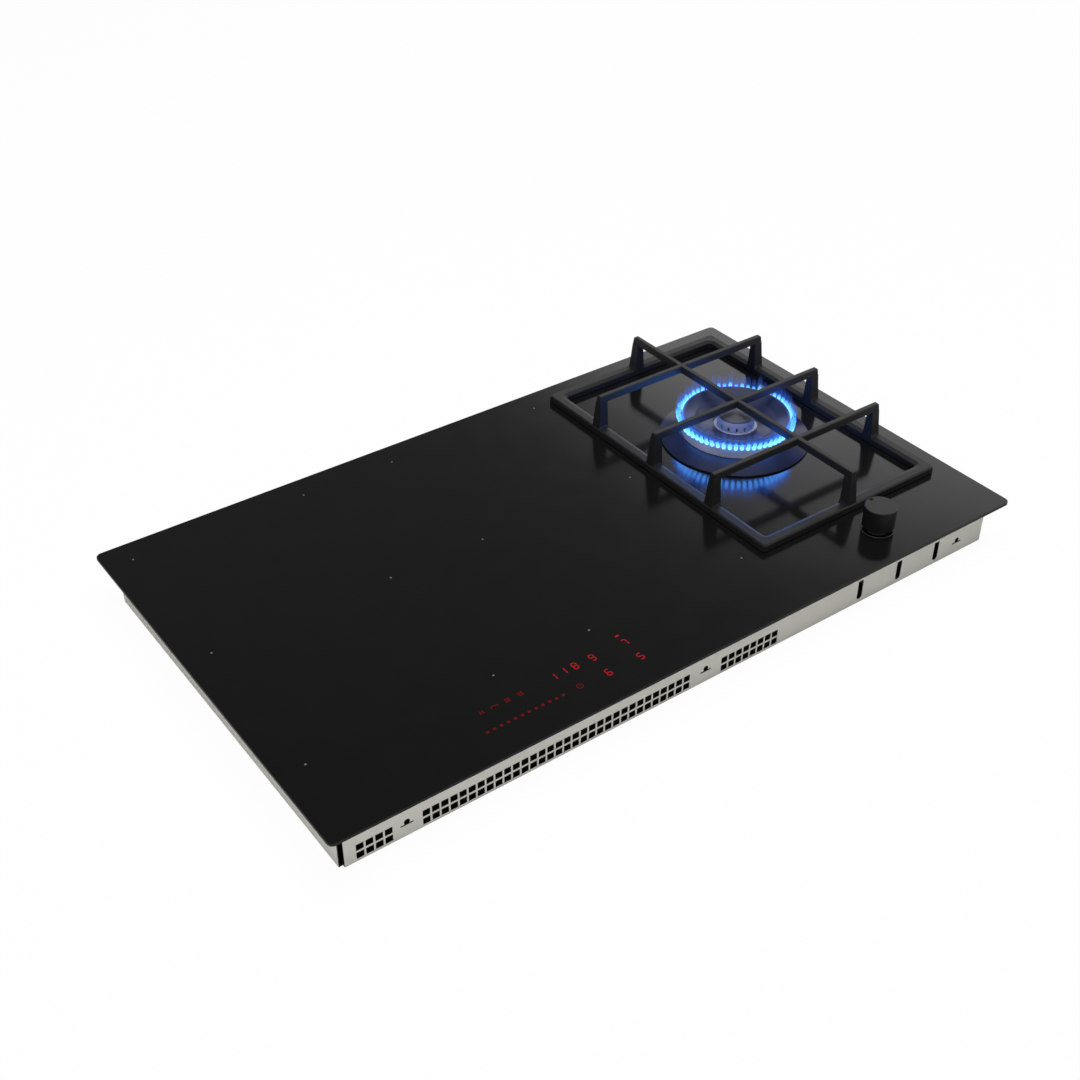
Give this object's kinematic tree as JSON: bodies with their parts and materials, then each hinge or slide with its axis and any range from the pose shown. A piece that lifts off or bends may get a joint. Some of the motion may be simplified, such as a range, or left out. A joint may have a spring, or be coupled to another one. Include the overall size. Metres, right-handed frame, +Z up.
{
  "type": "gas and induction hob",
  "caption": "Built-in hob: black glass plate over a vented steel tray, with induction zones, a two-ring gas burner, a cast pan support and one push-and-turn knob.",
  "frame": {"origin": "centre of the underside of the casing floor, under the middle of the glass plate", "axes": "+Z up, +X to the right along the front edge, +Y to the rear"},
  "size_m": [0.9, 0.5232, 0.1095],
  "materials": {
    "copper": "varnished winding",
    "white_plastic": "moulded",
    "ferrite": "sintered, matt",
    "aluminium": "mill",
    "zinc_steel": "zinc plated",
    "circuit_board": "solder resist",
    "black_plastic": "moulded",
    "display_lamp": "red lamp window",
    "brass": "turned",
    "ceramic": "glazed",
    "probe_steel": "drawn",
    "silicone": "matt",
    "black_glass": "polished, opaque black",
    "casing_steel": "galvanised sheet",
    "black_iron": "matt black enamel",
    "foot_rubber": "matt",
    "burner_enamel": "matt black enamel",
    "burner_alloy": "machined, satin",
    "knob_plastic": "fine matt with a turned top"
  },
  "bodies": {
    "hob": {"glass_top": "black_glass", "casing_tray": "casing_steel", "burner_base": "burner_enamel", "induction_coil_left_rear": "copper", "induction_coil_left_front": "copper", "induction_coil_centre_rear": "copper", "induction_coil_centre_front": "copper", "filter_choke": "copper", "coil_carriers": "white_plastic", "coil_sensors": "white_plastic", "ferrite_bars": "ferrite", "coil_plate_left": "aluminium", "coil_plate_centre": "aluminium", "heat_sink_left": "aluminium", "heat_sink_centre": "aluminium", "capacitors": "aluminium", "gas_manifold": "aluminium", "outer_gas_pipe": "aluminium", "inner_gas_pipe": "aluminium", "plate_pillars": "zinc_steel", "screws": "zinc_steel", "board_standoffs": "zinc_steel", "compartment_divider": "zinc_steel", "valve_bonnet": "zinc_steel", "valve_bracket": "zinc_steel", "burner_cup": "zinc_steel", "power_board_left": "circuit_board", "power_board_centre": "circuit_board", "filter_board": "circuit_board", "touch_board": "circuit_board", "blower_housing_left": "black_plastic", "blower_housing_centre": "black_plastic", "terminal_block": "black_plastic", "touch_board_carrier": "black_plastic", "ignition_switch": "black_plastic", "ignition_module": "black_plastic", "display_modules": "display_lamp", "gas_inlet": "brass", "valve_body": "brass", "safety_magnet": "brass", "injectors": "brass", "spark_electrode": "ceramic", "thermocouple": "probe_steel", "glass_adhesive": "silicone", "worktop_seal": "silicone", "burner_gasket": "silicone", "knob_gasket": "silicone", "cable_grommet": "silicone"},
    "valve_core": {"valve_plug": "brass", "valve_spring": "zinc_steel"},
    "knob_set": {"knob": "knob_plastic", "valve_spindle": "zinc_steel"},
    "blower_left": {"blower_rotor_left": "black_plastic"},
    "blower_centre": {"blower_rotor_centre": "black_plastic"},
    "pan_support": {"pan_support": "black_iron", "pan_support_feet": "foot_rubber"},
    "burner_crown": {"outer_crown": "burner_alloy", "inner_crown": "burner_alloy"},
    "outer_cap": {"outer_cap": "burner_enamel"},
    "inner_cap": {"inner_cap": "burner_enamel"}
  },
  "joints": [
    {"name": "knob_turn", "type": "hinge", "parent": "hob", "child": "valve_core", "pos_m": [0.2852, -0.2096, 0.03], "axis": [0, 0, 1], "range_deg": [0, 240]},
    {"name": "knob_push", "type": "slide", "parent": "valve_core", "child": "knob_set", "axis": [0, 0, -1], "range_m": [0, 0.003], "stiffness_N_per_m": 1500, "springref_m": -0.003, "deforming": ["valve_spring"]},
    {"name": "blower_left_spin", "type": "hinge", "parent": "hob", "child": "blower_left", "pos_m": [-0.313, 0.16, 0.02], "axis": [0, 0, 1], "continuous": true},
    {"name": "blower_centre_spin", "type": "hinge", "parent": "hob", "child": "blower_centre", "pos_m": [0.0183, 0.16, 0.02], "axis": [0, 0, 1], "continuous": true},
    {"name": "pan_support_lift", "type": "slide", "parent": "hob", "child": "pan_support", "axis": [0, 0, 1], "range_m": [0, 0.12]},
    {"name": "crown_lift", "type": "slide", "parent": "hob", "child": "burner_crown", "axis": [0, 0, 1], "range_m": [0, 0.008]},
    {"name": "outer_cap_lift", "type": "slide", "parent": "burner_crown", "child": "outer_cap", "axis": [0, 0, 1], "range_m": [0, 0.008]},
    {"name": "inner_cap_lift", "type": "slide", "parent": "burner_crown", "child": "inner_cap", "axis": [0, 0, 1], "range_m": [0, 0.008]}
  ]
}
